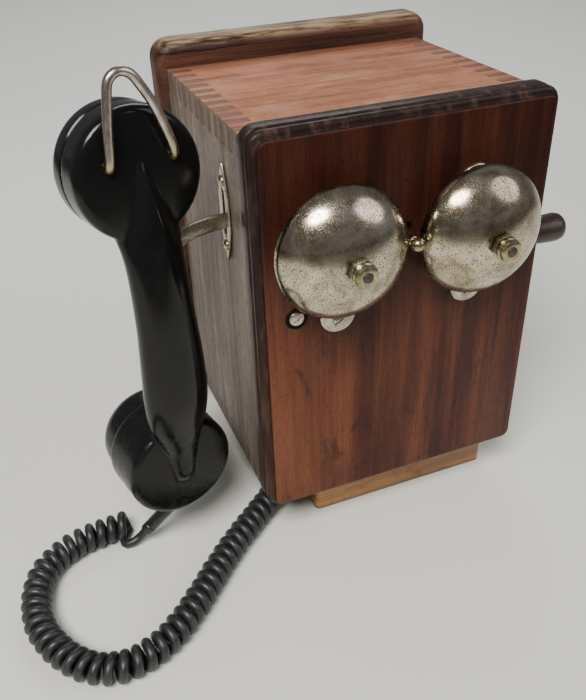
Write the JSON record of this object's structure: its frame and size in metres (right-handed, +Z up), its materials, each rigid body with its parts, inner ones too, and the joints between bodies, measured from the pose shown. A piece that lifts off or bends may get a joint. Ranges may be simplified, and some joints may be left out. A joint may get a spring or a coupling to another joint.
{
  "type": "wall crank telephone",
  "caption": "Wooden wall telephone with twin gongs on a hinged door, side crank magneto, switch hook, black handset with wire loop and curly cord.",
  "frame": {"origin": "on the underside of the block that the case stands on, below the middle of the door and of the case's depth", "axes": "+X to the right seen from the front, +Y to the wall, +Z up"},
  "size_m": [0.3508, 0.2277, 0.2883],
  "materials": {
    "mahogany": "french polished mahogany, worn at the edges",
    "case_wood": "old stained hardwood with grain and scuffs",
    "block_wood": "honey coloured varnished softwood",
    "nickel": "tarnished nickel plate, satin with dark specks",
    "brass": "nickelled brass gone yellowish",
    "iron": "oiled dark iron",
    "bakelite": "black phenolic, polished",
    "rubber": "black PVC cord sheath, semi matt",
    "knob_wood": "dark stained turned hardwood",
    "coil_tape": "green varnished cotton tape over wire",
    "can": "dull tinned metal"
  },
  "bodies": {
    "case": {"base_block": "block_wood", "bottom_board": "case_wood", "top_board": "case_wood", "side_board_left": "case_wood", "side_board_right": "case_wood", "back_board": "mahogany", "slot_plate": "nickel", "crank_bush": "brass", "hinge_leaf_case_lower": "brass", "hinge_leaf_case_upper": "brass", "generator_base": "iron", "generator_end_left": "brass", "generator_end_right": "brass", "generator_poles": "iron", "generator_magnet_1": "iron", "generator_magnet_2": "iron", "hook_bracket": "brass", "hook_contacts": "iron", "induction_coil": "coil_tape", "capacitor": "can", "terminal_strip": "bakelite", "cord_gland": "rubber", "cord_lead": "rubber", "cord_coil": "rubber", "cord_tail": "rubber"},
    "door": {"door": "mahogany", "hinge_leaf_door_lower": "brass", "hinge_leaf_door_upper": "brass", "gong_plate_left": "nickel", "gong_plate_right": "nickel", "gong_stud_left": "brass", "gong_stud_right": "brass", "gong_left": "nickel", "gong_right": "nickel", "gong_lock_nut_left": "brass", "gong_lock_nut_right": "brass", "gong_cap_nut_left": "brass", "gong_cap_nut_right": "brass", "ringer_yoke": "iron", "ringer_coil_left": "coil_tape", "ringer_coil_right": "coil_tape", "ringer_bracket": "brass"},
    "clapper": {"ringer_armature": "iron", "clapper": "nickel"},
    "lock": {"lock_screw": "nickel", "lock_tongue": "brass"},
    "crank": {"crank_shaft": "iron", "drive_gear": "brass", "crank_arm": "nickel"},
    "knob": {"crank_knob": "knob_wood"},
    "rotor": {"generator_rotor": "iron", "pinion": "brass"},
    "hook": {"switch_hook": "nickel"},
    "handset": {"handset_shell": "bakelite", "ear_cap": "bakelite", "mouth_cap": "bakelite", "receiver_capsule": "can", "transmitter_capsule": "can", "hanging_loop": "nickel", "cord_sleeve": "rubber"}
  },
  "joints": [
    {"name": "door_swing", "type": "hinge", "parent": "case", "child": "door", "pos_m": [0.0846, -0.0655, 0.1425], "axis": [0, 0, 1], "range_deg": [0, 85]},
    {"name": "clapper_swing", "type": "hinge", "parent": "door", "child": "clapper", "pos_m": [-0.00625, -0.0265, 0.1956], "axis": [0, 0, 1], "range_deg": [-0.8, 0.8]},
    {"name": "lock_turn", "type": "hinge", "parent": "door", "child": "lock", "pos_m": [-0.064, -0.0835, 0.1585], "axis": [0, 1, 0], "range_deg": [0, 90]},
    {"name": "crank_turn", "type": "hinge", "parent": "case", "child": "crank", "pos_m": [0.0825, -0.0035, 0.162], "axis": [1, 0, 0], "continuous": true},
    {"name": "knob_spin", "type": "hinge", "parent": "crank", "child": "knob", "pos_m": [0.091, -0.0555, 0.162], "axis": [1, 0, 0], "continuous": true},
    {"name": "rotor_turn", "type": "hinge", "parent": "case", "child": "rotor", "pos_m": [0.056, -0.0035, 0.12762], "axis": [1, 0, 0], "continuous": true},
    {"name": "handset_lift", "type": "slide", "parent": "case", "child": "handset", "axis": [0, -0.6, 0.8], "range_m": [0, 0.12]},
    {"name": "hook_swing", "type": "hinge", "parent": "case", "child": "hook", "pos_m": [-0.054, -0.0365, 0.1973], "axis": [0, 1, 0], "range_deg": [0, 10]}
  ],
  "couplings": [
    {"joint": "rotor_turn", "follows": "crank_turn", "ratio": -4},
    {"joint": "hook_swing", "follows": "handset_lift", "rad_per_m": 1.4}
  ]
}
